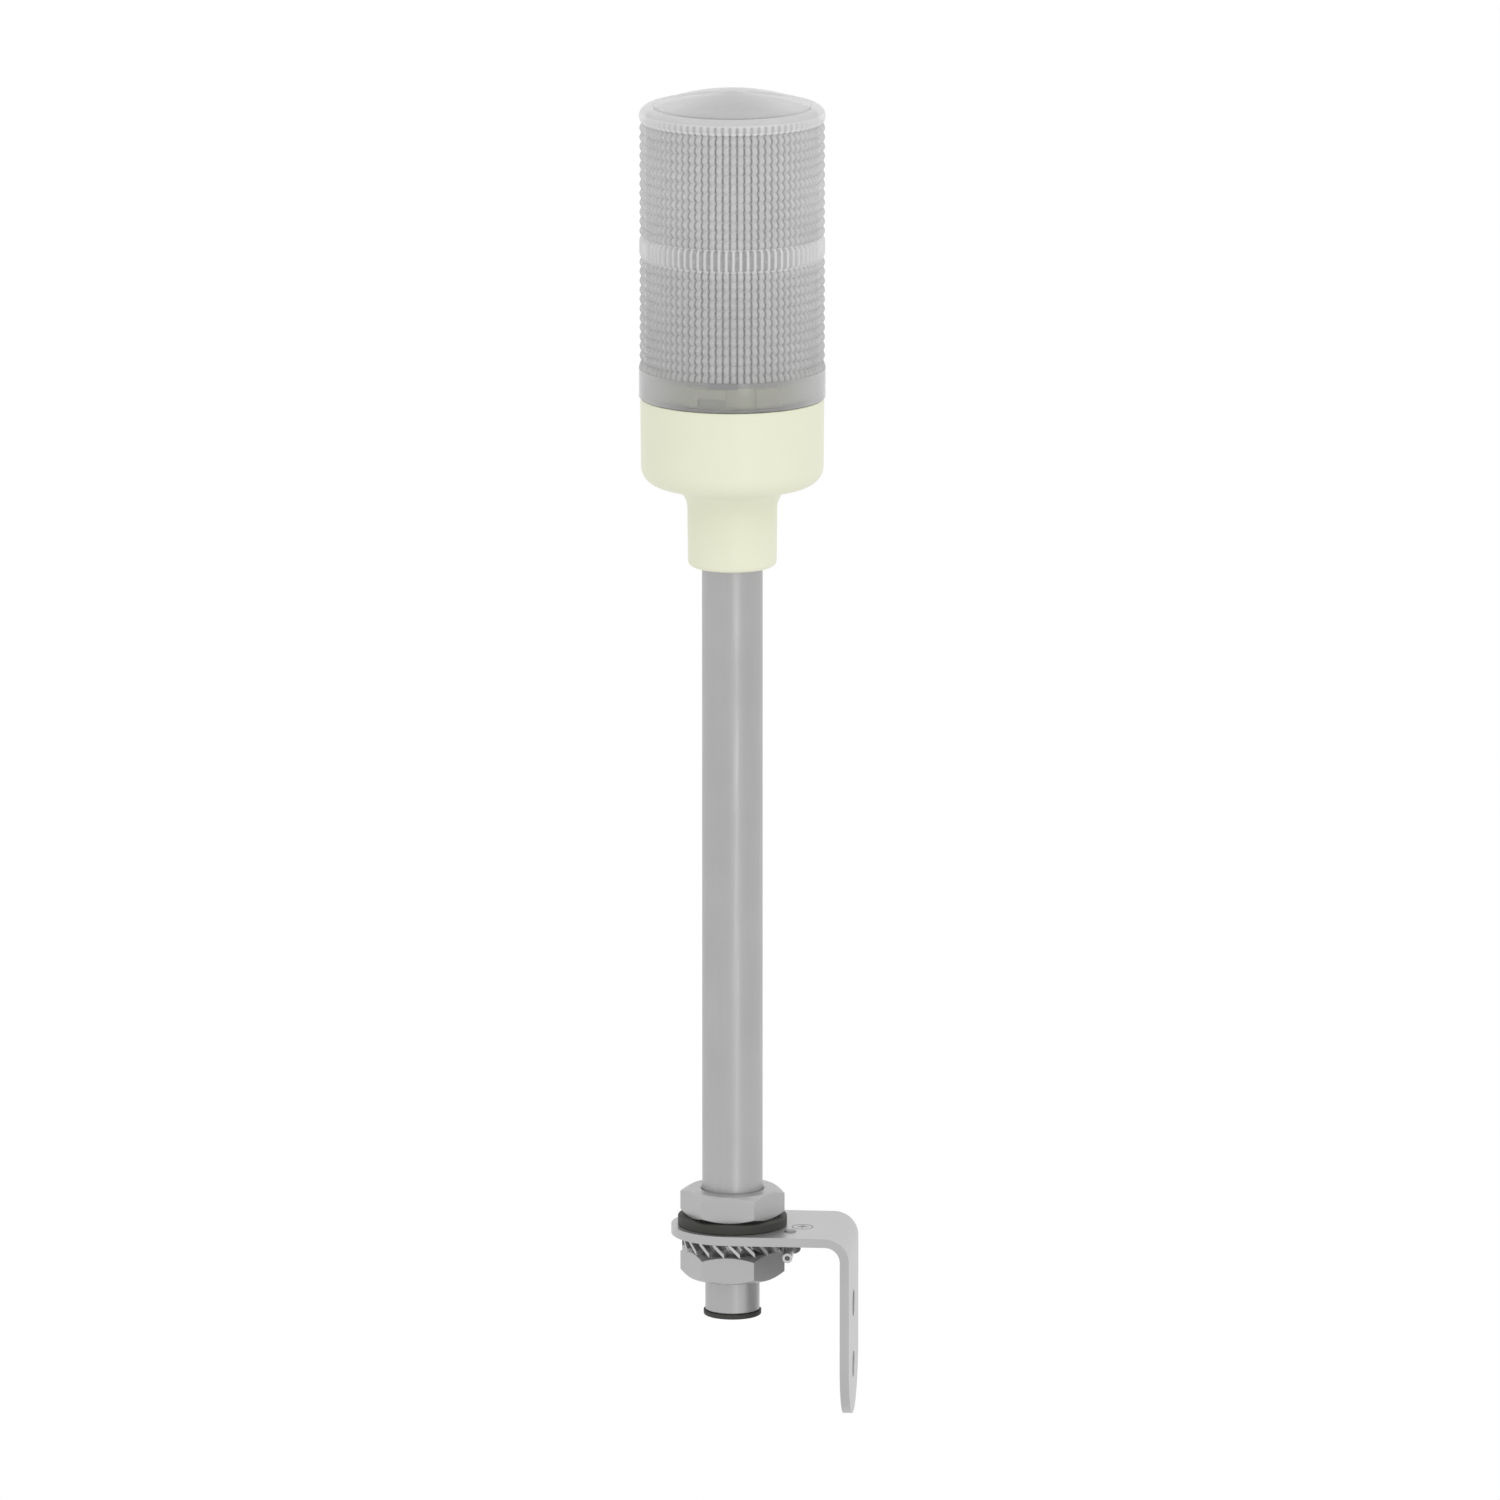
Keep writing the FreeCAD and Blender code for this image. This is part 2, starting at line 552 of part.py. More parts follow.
def carrier_screw():
    """One pan-head screw through the driver board and the carrier into a boss."""
    head_low = board_top + SEAT_GAP
    head_high = head_low + SCREW_HEAD_HEIGHT
    tip = head_low - SCREW_LENGTH
    shank = SCREW / 2
    edge = TURNED_EDGE
    length, width, depth = SCREW_RECESS
    body = turned([
        (0, tip, 0), (shank - edge, tip, 0), (shank, tip + edge, 0), (shank, head_low, 0),
        (SCREW_HEAD / 2, head_low, 0), (SCREW_HEAD / 2, head_high, SCREW_HEAD_HEIGHT / 2),
        (0, head_high, 0)])
    recess = box(length, width, head_high - depth, head_high + 1)
    return body.cut(recess).cut(around(recess, 90))


def lens_seal():
    """The flat ring that the lens's rim closes on, round the foot of the collar."""
    low = joint + SEAT_GAP
    outer = LENS / 2 - LIP - LUG_GAP
    return ring(2 * outer, 2 * (collar_outer + THREAD_GAP), low, low + SEAL_HEIGHT)


# ---------------------------------------------------------------- boards and light source
def driver_board():
    """The round board on the carrier's pillars."""
    body = Part.makeCylinder(BOARD / 2, BOARD_SHEET, Vector(0, 0, board_low))
    hole = Part.makeCylinder(SCREW / 2 + SLIP_GAP, BOARD_SHEET + 2, Vector(0, 0, board_low - 1))
    return body.cut(at_screws(hole))


def board_components():
    """Two upright capacitors and a flat power chip on the board."""
    low = board_top + SEAT_GAP
    diameter, height = CAPACITOR
    length, width, thickness = CHIP
    can = turned([
        (0, low, 0), (diameter / 2, low, 0), (diameter / 2, low + height, 0.5), (0, low + height, 0)])
    can.translate(Vector((POST_FOOT + diameter) / 2 + PART_CLEAR, 0, 0))
    chip = box(length, width, low, low + thickness)
    chip.translate(Vector(0, -(POST_FOOT + width) / 2 - PART_CLEAR, 0))
    return [around(can, 30), around(can, 150), chip]


def wire_connector():
    """The plug-in terminal under the board, with a round hole for each wire."""
    length, width, height = CONNECTOR
    high = board_low - SEAT_GAP
    body = box(length, width, high - height, high)
    for step in range(WIRE_COUNT):
        x = (step - (WIRE_COUNT - 1) / 2) * length / (WIRE_COUNT + 0.5)
        low = high - height - 1
        body = body.cut(Part.makeCylinder(WIRE_HOLE / 2, WIRE_HOLE_DEPTH + 1, Vector(x, 0, low)))
    return body


def led_post():
    """The hollow square post, on a round foot."""
    foot = Part.makeCylinder(POST_FOOT / 2, POST_FOOT_SHEET, Vector(0, 0, post_low))
    post = box(POST, POST, post_low, post_top)
    inside = box(POST - 2 * POST_WALL, POST - 2 * POST_WALL, post_low - 1, post_top + 1)
    return foot.fuse(post).cut(inside)


led_board_low = post_low + POST_FOOT_SHEET + SEAT_GAP
led_board_face = POST / 2 + SEAT_GAP + LED_BOARD_SHEET


def led_board(side):
    """An upright board on one side of the post."""
    body = Part.makeBox(
        LED_BOARD_SHEET, LED_BOARD_WIDTH, post_top - led_board_low,
        Vector(POST / 2 + SEAT_GAP, -LED_BOARD_WIDTH / 2, led_board_low))
    return around(body, 90 * side)


def leds():
    """The chips in one column on each of the four boards."""
    width, height, thickness = LED_SIZE
    pitch = (post_top - CAP_HEIGHT - led_board_low) / LED_ROWS
    chips = []
    for side in range(4):
        for row in range(LED_ROWS):
            low = led_board_low + pitch * (row + 0.5) - height / 2
            chip = Part.makeBox(
                thickness, width, height, Vector(led_board_face + SEAT_GAP, -width / 2, low))
            chips.append(around(chip, 90 * side))
    return chips


def post_cap():
    """The square cap that closes the post and holds the boards' top ends."""
    inner = 2 * (led_board_face + SLIP_GAP)
    outer = inner + 2 * CAP_WALL
    low = post_top - CAP_HEIGHT + CAP_WALL + SEAT_GAP
    return box(outer, outer, low, cap_top).cut(box(inner, inner, low - 1, post_top + SEAT_GAP))


def diffuser():
    """The milky sleeve over the LED post: a narrow foot in the collar, wide and closed above it."""
    foot = DIFFUSER / 2
    wide = flute_inner - DIFFUSER_GAP
    crown = wide - DIFFUSER_DRAFT
    low = board_top + SEAT_GAP
    flare_low = collar_top + DIFFUSER_LIFT
    flare_high = flare_low + DIFFUSER_FLARE
    lean = math.atan((wide - foot) / DIFFUSER_FLARE)
    shift = DIFFUSER_WALL * math.tan(lean / 2)
    outer_corner = DIFFUSER_CORNER
    inner_corner = DIFFUSER_CORNER - DIFFUSER_WALL
    outer_bend = DIFFUSER_BEND + DIFFUSER_WALL
    outside = [
        (foot, low, 0), (foot, flare_low, DIFFUSER_BEND), (wide, flare_high, outer_bend),
        (crown, diffuser_top, outer_corner), (0, diffuser_top, 0)]
    inside = [
        (0, diffuser_top - DIFFUSER_WALL, 0),
        (crown - DIFFUSER_WALL, diffuser_top - DIFFUSER_WALL, inner_corner),
        (wide - DIFFUSER_WALL, flare_high + shift, DIFFUSER_BEND),
        (foot - DIFFUSER_WALL, flare_low + shift, outer_bend),
        (foot - DIFFUSER_WALL, low, 0)]
    return turned(outside + inside)


# ---------------------------------------------------------------- lens
def ring_outline(first_groove, grooves):
    """The side's outline over one ringed zone: a groove, then a flat-topped ring, and so on."""
    flank = (RING_PITCH - RING_CREST) / 2
    corners = []
    for step in range(grooves):
        middle = first_groove + RING_PITCH * step
        corners.append((LENS / 2, middle - flank, 0))
        corners.append((LENS / 2 - GROOVE_DEPTH, middle, 0))
        corners.append((LENS / 2, middle + flank, 0))
    return corners


def cap(radius, centre_z, low):
    """The part of a sphere on the axis that lies above a height."""
    latitude = math.degrees(math.asin((low - centre_z) / radius))
    return Part.makeSphere(radius, Vector(0, 0, centre_z), UP, latitude, 90, 360)


def lens():
    """The clear globe: rings outside, flutes inside, bayonet lugs and stop ribs in its skirt."""
    top = joint + LENS_HEIGHT
    lower = joint + SKIRT
    upper = lower + LOWER_RINGS * RING_PITCH + PLAIN_BAND
    side = LENS / 2
    flute_low = joint + FLUTE_START
    flute_high = inner_ledge - FLUTE_END

    outside = [(side, joint + RIM_GAP, RIM_EDGE)]
    outside += ring_outline(lower, LOWER_RINGS + 1)
    outside += ring_outline(upper, UPPER_RINGS + 1)
    outside += [(side, lens_ledge, SHOULDER), (0, lens_ledge, 0)]
    rim_step = joint + SEAT_GAP + SEAL_HEIGHT + SEAL_GAP
    inside = [
        (0, inner_ledge, 0), (flute_inner, inner_ledge, 1.0), (flute_inner, flute_low, 0),
        (skirt_inner, flute_low, 0), (skirt_inner, rim_step, 0), (side - LIP, rim_step, 0),
        (side - LIP, joint + RIM_GAP, 0)]
    body = turned(outside + inside)

    sphere = (DOME ** 2 / 4 + DOME_RISE ** 2) / (2 * DOME_RISE)
    centre_z = top - sphere
    dome = cap(sphere, centre_z, lens_ledge)
    hollow = cap(sphere - DOME_WALL, centre_z, inner_ledge)
    body = body.fuse(dome).cut(hollow)

    points = []
    for step in range(2 * FLUTE_COUNT + 1):
        angle = math.radians(180 / FLUTE_COUNT * step)
        radius = skirt_inner if step % 2 else flute_inner - SEAT_GAP
        points.append(Vector(radius * math.cos(angle), radius * math.sin(angle), flute_low - SEAT_GAP))
    flutes = Part.Face(Part.makePolygon(points)).extrude(Vector(0, 0, flute_high - flute_low))
    body = body.cut(flutes)

    inner_edge = collar_outer - SLOT_DEPTH + LUG_GAP
    stop_low = collar_top + STOP_GAP
    for step in range(LUG_COUNT):
        turn = 360 / LUG_COUNT * step
        lug = sector(
            skirt_inner + 0.5, inner_edge, joint + LUG_LOW, joint + LUG_LOW + LUG_HEIGHT,
            LUG_TURN + turn, LUG_WIDTH)
        stop = sector(
            skirt_inner + 0.5, inner_edge, stop_low, stop_low + LUG_HEIGHT, STOP_TURN + turn, LUG_WIDTH)
        body = body.fuse([lug, stop])
    return body


# ---------------------------------------------------------------- the pieces
save("bracket", bracket())
save("pole_tube", pole_tube())
save("upper_nut", hex_nut(NUT_FLATS, POLE + 2 * THREAD_GAP, upper_nut_low, NUT_HEIGHT, NUT_TURN))
save("rubber_gasket", rubber_gasket())
save("toothed_washer", toothed_washer())
save("lower_nut", hex_nut(NUT_FLATS, POLE + 2 * THREAD_GAP, lower_nut_low, NUT_HEIGHT, NUT_TURN))
save("end_grommet", end_grommet())
save("earth_screw", earth_screw())
save("earth_spring_washer", earth_spring_washer())
save("ring_terminal", ring_terminal())
save("base_housing", base_housing())
save("neck_seal", neck_seal())
save("pole_lock_washer", pole_lock_washer())
save("pole_lock_nut", hex_nut(
    LOCK_NUT_FLATS, POLE_END + 2 * THREAD_GAP, lock_nut_low, LOCK_NUT_HEIGHT, 0))
save("bayonet_carrier", bayonet_carrier())
save("carrier_screws", Part.makeCompound(at_screws(carrier_screw())))
save("lens_seal", lens_seal())
save("driver_board", driver_board())
save("board_components", Part.makeCompound(board_components()))
save("wire_connector", wire_connector())
save("led_post", led_post())
for number in range(4):
    save("led_board_" + str(number + 1), led_board(number))
save("leds", Part.makeCompound(leds()))
save("post_cap", post_cap())
save("diffuser", diffuser())
save("lens", lens())
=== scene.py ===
import math

import bpy
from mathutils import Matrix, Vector


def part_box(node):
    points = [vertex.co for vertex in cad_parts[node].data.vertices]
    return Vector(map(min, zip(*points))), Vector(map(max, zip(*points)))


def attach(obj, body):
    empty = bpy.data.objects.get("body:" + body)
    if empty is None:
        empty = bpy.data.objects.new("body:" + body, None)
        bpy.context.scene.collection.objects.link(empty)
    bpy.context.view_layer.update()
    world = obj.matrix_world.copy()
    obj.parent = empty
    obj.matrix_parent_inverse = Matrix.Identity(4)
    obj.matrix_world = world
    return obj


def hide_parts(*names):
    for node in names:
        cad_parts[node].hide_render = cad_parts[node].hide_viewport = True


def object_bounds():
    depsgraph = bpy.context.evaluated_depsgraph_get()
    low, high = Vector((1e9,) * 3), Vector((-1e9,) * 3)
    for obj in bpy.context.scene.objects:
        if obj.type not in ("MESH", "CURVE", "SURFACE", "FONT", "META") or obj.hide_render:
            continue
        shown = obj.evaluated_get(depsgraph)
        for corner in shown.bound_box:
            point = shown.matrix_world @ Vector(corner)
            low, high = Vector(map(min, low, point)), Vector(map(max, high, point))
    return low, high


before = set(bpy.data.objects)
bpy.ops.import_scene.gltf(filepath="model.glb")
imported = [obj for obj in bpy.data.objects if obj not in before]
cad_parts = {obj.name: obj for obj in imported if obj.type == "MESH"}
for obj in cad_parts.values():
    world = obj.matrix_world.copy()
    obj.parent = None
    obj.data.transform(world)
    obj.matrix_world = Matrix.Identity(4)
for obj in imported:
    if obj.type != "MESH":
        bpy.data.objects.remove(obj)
cad_low, cad_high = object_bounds()

MM = 0.001


def span(node):
    """A node's lowest and highest corners as vectors."""
    low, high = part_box(node)
    return Vector(low), Vector(high)


lens_low, lens_high = span("lens")
plate_low, plate_high = span("bracket")
pole_low, pole_high = span("pole_tube")
pole_x = (pole_low.x + pole_high.x) / 2
plate_top = plate_high.z


# ---------------------------------------------------------------- materials
NOISE_RANGE = (0.3, 0.7)        # where most of a noise's values lie
WEAR_RANGE = (1.0, 0.8)         # cosines between true and rounded normal: where wear starts and is full
PATCH_GRAIN = 45                # all grains are in features per metre
RELIEF = 0.1 * MM               # height of a finish's grain
LOW_SHADE_TONE = 0.86                 # painted shade: tone of the globe at its rim, as a share of that at its top
FULL_TONE = 30 * MM             # top of the globe to where the painted shade ends and its tone is full
CLOUD_GRAIN = 60
CLOUD = 0.03                    # how far the clear plastic's tone varies
GLOSS_GRAIN = 400
GLOSS_SPREAD = 0.03
# DARK_GRAIN: grain of the painted shade lines
DARK_GRAIN = 700
DARK_SPREAD = (0.80, 1.05)      # DARK_SPREAD: how far a painted shade line's strength varies
DARK_REACH = 0.55               # DARK_REACH: how far the wall is turned away where the painted shade lines are lost
MILK_REACH = 0.65               # and where the plain wall is at its milkiest


def new_material(name):
    """An empty node material and its shader."""
    material = bpy.data.materials.new(name)
    material.use_nodes = True
    nodes = material.node_tree.nodes
    nodes.clear()
    output = nodes.new("ShaderNodeOutputMaterial")
    shader = nodes.new("ShaderNodeBsdfPrincipled")
    material.node_tree.links.new(shader.outputs["BSDF"], output.inputs["Surface"])
    return material, shader


def noise(material, scale, stretch=(1, 1, 1), detail=3.0):
    """A noise pattern in object space; scale is in features per metre."""
    nodes = material.node_tree.nodes
    links = material.node_tree.links
    place = nodes.new("ShaderNodeTexCoord")
    mapping = nodes.new("ShaderNodeMapping")
    mapping.inputs["Scale"].default_value = stretch
    pattern = nodes.new("ShaderNodeTexNoise")
    pattern.inputs["Scale"].default_value = scale
    pattern.inputs["Detail"].default_value = detail
    links.new(place.outputs["Object"], mapping.inputs["Vector"])
    links.new(mapping.outputs["Vector"], pattern.inputs["Vector"])
    return pattern.outputs["Fac"]


def spread_out(material, value, start, end, low, high, smooth=False):
    """A value taken from low to high between two limits."""
    node = material.node_tree.nodes.new("ShaderNodeMapRange")
    if smooth:
        node.interpolation_type = "SMOOTHSTEP"
    node.inputs["From Min"].default_value = start
    node.inputs["From Max"].default_value = end
    node.inputs["To Min"].default_value = low
    node.inputs["To Max"].default_value = high
    material.node_tree.links.new(value, node.inputs["Value"])
    return node.outputs["Result"]


def ramp(material, pattern, low, high):
    """A noise pattern spread over a range."""
    return spread_out(material, pattern, *NOISE_RANGE, low, high)


def mix(material, factor, first, second):
    """Two colours mixed by a factor; either may be a socket."""
    node = material.node_tree.nodes.new("ShaderNodeMix")
    node.data_type = "RGBA"
    links = material.node_tree.links
    links.new(factor, node.inputs["Factor"])
    for socket, colour in ((node.inputs[6], first), (node.inputs[7], second)):
        if isinstance(colour, bpy.types.NodeSocket):
            links.new(colour, socket)
        else:
            socket.default_value = (*colour, 1.0)
    return node.outputs[2]


def edge_mask(material, soft_normal):
    """How much a spot lies on a sharp edge, from the difference between its rounded and its true normal."""
    nodes = material.node_tree.nodes
    links = material.node_tree.links
    geometry = nodes.new("ShaderNodeNewGeometry")
    turn = nodes.new("ShaderNodeVectorMath")
    turn.operation = "DOT_PRODUCT"
    links.new(soft_normal, turn.inputs[0])
    links.new(geometry.outputs["Normal"], turn.inputs[1])
    return spread_out(material, turn.outputs["Value"], *WEAR_RANGE, 0.0, 1.0)


def finish(name, colour, roughness, metallic=0.0, variation=0.03, grain=900, stretch=(1, 1, 1),
           bump=0.02, edge=0.25 * MM, wear=0.12, spread=0.05):
    """A worn-in finish: colour and roughness that vary a little, a fine grain, and edges that look rounded
    and lighter."""
    material, shader = new_material(name)
    nodes = material.node_tree.nodes
    links = material.node_tree.links
    patch = ramp(material, noise(material, PATCH_GRAIN), 0.0, 1.0)
    darker = tuple(channel * (1 - variation) for channel in colour)
    lighter = tuple(min(1.0, channel * (1 + variation)) for channel in colour)
    worn = tuple(min(1.0, channel * (1 + 2 * wear)) for channel in colour)
    soft = nodes.new("ShaderNodeBevel")
    soft.samples = 4
    soft.inputs["Radius"].default_value = edge
    mask = edge_mask(material, soft.outputs["Normal"])
    tone = mix(material, mask, mix(material, patch, darker, lighter), worn)
    links.new(tone, shader.inputs["Base Color"])
    fine = noise(material, grain, stretch)
    links.new(ramp(material, fine, roughness - spread, roughness + spread), shader.inputs["Roughness"])
    relief = nodes.new("ShaderNodeBump")
    relief.inputs["Strength"].default_value = bump
    relief.inputs["Distance"].default_value = RELIEF
    links.new(fine, relief.inputs["Height"])
    links.new(soft.outputs["Normal"], relief.inputs["Normal"])
    links.new(relief.outputs["Normal"], shader.inputs["Normal"])
    shader.inputs["Metallic"].default_value = metallic
    return material


def smooth_range(material, value, start, end, low, high):
    """A value eased from low to high between two limits."""
    return spread_out(material, value, start, end, low, high, smooth=True)


def marked(material, name):
    """A mark that the globe's mesh carries, from 0 to 1: how much painted shade goes there."""
    mark = material.node_tree.nodes.new("ShaderNodeAttribute")
    mark.attribute_name = name
    return mark.outputs["Fac"]


def product(material, first, second):
    """Two values multiplied."""
    node = material.node_tree.nodes.new("ShaderNodeMath")
    node.operation = "MULTIPLY"
    material.node_tree.links.new(first, node.inputs[0])
    material.node_tree.links.new(second, node.inputs[1])
    return node.outputs["Value"]


def clear_plastic(name, grey, cover, roughness):
    """See-through plastic that doesn't bend what is behind it; cover is how much one surface hides. Its
    colour is painted a little greyer low on the globe, as shade where less light comes in through the dome.
    Returns material and shader."""
    material, shader = new_material(name)
    nodes = material.node_tree.nodes
    links = material.node_tree.links
    place = nodes.new("ShaderNodeSeparateXYZ")
    links.new(nodes.new("ShaderNodeTexCoord").outputs["Object"], place.inputs["Vector"])
    # painted shade: the globe's colour is darker towards its rim
    rise = smooth_range(material, place.outputs["Z"], lens_low.z, lens_high.z - FULL_TONE, 0.0, 1.0)
    tone = mix(material, rise, (grey * LOW_SHADE_TONE,) * 3, (grey,) * 3)
    cloud = ramp(material, noise(material, CLOUD_GRAIN), 1 - CLOUD, 1 + CLOUD)
    scaled = nodes.new("ShaderNodeVectorMath")
    scaled.operation = "SCALE"
    links.new(tone, scaled.inputs[0])
    links.new(cloud, scaled.inputs["Scale"])
    links.new(scaled.outputs["Vector"], shader.inputs["Base Color"])
    gloss = ramp(material, noise(material, GLOSS_GRAIN), roughness - GLOSS_SPREAD, roughness + GLOSS_SPREAD)
    links.new(gloss, shader.inputs["Roughness"])
    shader.inputs["Alpha"].default_value = cover
    return material, shader


def facing_away(material):
    """How far the globe's wall, taken as a plain cylinder, is turned away from the view: 0 to 1."""
    nodes = material.node_tree.nodes
    links = material.node_tree.links
    place = nodes.new("ShaderNodeNewGeometry")
    arm = nodes.new("ShaderNodeVectorMath")
    arm.operation = "SUBTRACT"
    arm.inputs[1].default_value = (pole_x, 0, 0)
    flat = nodes.new("ShaderNodeVectorMath")
    flat.operation = "MULTIPLY"
    flat.inputs[1].default_value = (1, 1, 0)
    unit = nodes.new("ShaderNodeVectorMath")
    unit.operation = "NORMALIZE"
    weight = nodes.new("ShaderNodeLayerWeight")
    weight.inputs["Blend"].default_value = 0.5
    links.new(place.outputs["Position"], arm.inputs[0])
    links.new(arm.outputs["Vector"], flat.inputs[0])
    links.new(flat.outputs["Vector"], unit.inputs[0])
    links.new(unit.outputs["Vector"], weight.inputs["Normal"])
    return weight.outputs["Facing"]


def clear_flutes(name, grey, cover, roughness, dark, dark_cover, start, end):
    """See-through plastic with painted shade on its marked places, darker and more covering, standing in for
    the light that the flutes turn aside; the painted shade fades where the wall turns away. A mark counts
    from start and is at its full strength at end."""
    material, shader = clear_plastic(name, grey, cover, roughness)
    links = material.node_tree.links
    # painted shade: marked places get a darker colour and more cover, faded where the wall turns from the
    # view
    strength = smooth_range(material, marked(material, "valley"), start, end, 0.0, 1.0)
    towards = smooth_range(material, facing_away(material), 0.0, DARK_REACH, 1.0, 0.0)
    strength = product(material, strength, towards)
    strength = product(material, strength, ramp(material, noise(material, DARK_GRAIN), *DARK_SPREAD))
    light = shader.inputs["Base Color"].links[0].from_socket
    links.new(mix(material, strength, light, (dark,) * 3), shader.inputs["Base Color"])
    links.new(smooth_range(material, strength, 0.0, 1.0, cover, dark_cover), shader.inputs["Alpha"])
    return material


def clear_wall(name, grey, cover, side_cover, roughness):
    """Plain see-through plastic, milkier where the view runs along its wall."""
    material, shader = clear_plastic(name, grey, cover, roughness)
    turned = smooth_range(material, facing_away(material), 0.0, MILK_REACH, cover, side_cover)
    material.node_tree.links.new(turned, shader.inputs["Alpha"])
    return material


# looks of the globe's strips; the flute looks carry painted shade on the marked places
GLOBE_LOOKS = [
    clear_wall("clear_skirt", grey=0.59, cover=0.34, side_cover=0.80, roughness=0.08),
    clear_flutes("clear_optics", grey=0.74, cover=0.50, roughness=0.12, dark=0.17, dark_cover=0.82,
                 start=0.50, end=0.96),
    clear_flutes("clear_band", grey=0.84, cover=0.64, roughness=0.08, dark=0.36, dark_cover=0.72,
                 start=0.15, end=0.55),
    # painted highlight: a lighter look for thin lines in the grooves
    clear_flutes("clear_painted_highlight", grey=0.90, cover=0.62, roughness=0.10, dark=0.40, dark_cover=0.75,
                 start=0.50, end=0.90),
    # painted shade on the dome where it faces the view and in the crease at its foot
    clear_flutes("clear_dome", grey=0.74, cover=0.58, roughness=0.12, dark=0.28, dark_cover=0.85,
                 start=0.0, end=1.0),
    clear_wall("clear_lug", grey=0.30, cover=0.75, side_cover=0.80, roughness=0.15),
    clear_wall("clear_low_lug", grey=0.66, cover=0.10, side_cover=0.20, roughness=0.15),
    # painted shade: dark flute ends painted on the shoulder
    clear_flutes("clear_tips", grey=0.82, cover=0.62, roughness=0.10, dark=0.42, dark_cover=0.74,
                 start=0.20, end=0.80),
]
SKIRT_LOOK, OPTICS_LOOK, BAND_LOOK, HIGHLIGHT_LOOK, DOME_LOOK, LUG_LOOK, LOW_LUG_LOOK, TIP_LOOK = range(8)

steel = finish("zinc_plated_sheet", (0.475, 0.475, 0.475), 0.32, 0.75, grain=1500, bump=0.012, spread=0.03)
pole_metal = finish("satin_tube", (0.445, 0.445, 0.445), 0.38, 0.8, grain=1200, stretch=(1, 1, 0.03),
                    bump=0.015)
nut_metal = finish("plated_nut", (0.465, 0.465, 0.465), 0.38, 0.8, grain=1400, bump=0.02)
washer_metal = finish("spring_steel", (0.54, 0.54, 0.54), 0.40, 0.8)
tinned_metal = finish("tinned_copper", (0.56, 0.56, 0.56), 0.25, 0.9)
screw_metal = finish("dark_screw", (0.24, 0.24, 0.24), 0.35, 0.8)
rubber = finish("black_rubber", (0.036, 0.036, 0.031), 0.62, grain=2200, bump=0.08, wear=0.3, variation=0.1)
# partly the seal's own grey, partly painted shade: darkened to stand for the shade in the gap at the globe's
# rim
seal_grey_and_shade = finish("grey_silicone_painted_shade", (0.12, 0.12, 0.11), 0.45, wear=0.05)
cream = finish("cream_plastic", (0.80, 0.81, 0.63), 0.38, grain=2500, bump=0.015, wear=0.03, variation=0.01)
collar_cream = finish("cream_collar", (0.80, 0.81, 0.54), 0.38, grain=2500, bump=0.015, wear=0.03,
                      variation=0.01)
white = finish("white_plastic", (0.80, 0.80, 0.80), 0.45)
mark_dark = finish("engraved_mark", (0.10, 0.10, 0.10), 0.60, bump=0.05, wear=0.02)
milky = finish("milky_sleeve", (0.80, 0.80, 0.80), 0.50, variation=0.02)
green_board = finish("board_green", (0.02, 0.16, 0.06), 0.35, variation=0.15)
black_part = finish("component_black", (0.03, 0.03, 0.035), 0.4)
led_chip = finish("led_chip", (0.85, 0.80, 0.45), 0.3)

FINISHES = {
    "bracket": steel, "pole_tube": pole_metal, "upper_nut": nut_metal, "lower_nut": nut_metal,
    "toothed_washer": washer_metal, "earth_spring_washer": washer_metal, "earth_screw": screw_metal,
    "ring_terminal": tinned_metal, "rubber_gasket": rubber, "end_grommet": rubber, "neck_seal": rubber,
    "lens_seal": seal_grey_and_shade, "base_housing": cream, "bayonet_carrier": collar_cream,
    "pole_lock_washer": washer_metal, "pole_lock_nut": nut_metal, "carrier_screws": nut_metal,
    "driver_board": green_board, "board_components": black_part, "wire_connector": white,
    "led_post": white, "post_cap": white,
    "led_board_1": white, "led_board_2": white, "led_board_3": white, "led_board_4": white,
    "leds": led_chip, "diffuser": milky, "lens": GLOBE_LOOKS[OPTICS_LOOK],
}
for node, material in FINISHES.items():
    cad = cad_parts[node]
    cad.data.materials.clear()
    cad.data.materials.append(material)


# ---------------------------------------------------------------- the clear globe
RIM_GAP = 0.25 * MM             # between the globe's rim and the base
JOINT = lens_low.z - RIM_GAP    # height of the base's top face
INSIDE = 0.002 * MM             # keeps the globe within the frame's box
SIDE = (lens_high.x - lens_low.x) / 2 - INSIDE
RING_PITCH = 3.1 * MM
RING_SINK = 0.2 * MM            # how far the rings' crests lie inside the skirt's wall
GROOVE_DEPTH = 0.82 * MM        # below the rings' crests
RING_CURVE = 1.5                # power of the fall from a ring's crest to its groove
SKIRT = 12.45 * MM              # joint to the lowest groove
LOWER_RINGS = 11
UPPER_RINGS = 12
PLAIN_BAND = 7.3 * MM           # between the grooves on each side of the plain band
SHOULDER = 3.4 * MM             # radius of the rounding between the side and the dome
SHOULDER_END = 115              # degrees that the shoulder rolls over, down to the dome's foot
SHOULDER_STEPS = 12
CREASE_START = 95               # CREASE_START: degrees round the shoulder at which the crease's painted shade begins
DOME_RISE = 5.0 * MM            # shoulder's top to the dome's top
DOME_CURVE = 71.7 * MM          # radius of the dome
DOME_EDGE = 1.9 * MM            # width of the steeper edge round the dome
DOME_BROW = (0.25, 0.55, 0.85)  # places of the mesh rows on that edge, as shares of a quarter turn
DOME_STEPS = 7
DOME_STEPS_INSIDE = 3
DOME_MIDDLE = 89.8              # degrees at which the dome's rows end, just short of the axis
DOME_WALL = 2.0 * MM
LENS_WALL = 2.4 * MM
INNER_ROUND = 1.0 * MM          # radius of the rounding under the shoulder
INNER_ROUND_START = 80          # degrees
ROUND_STEPS = 3                 # mesh rows in a small rounding
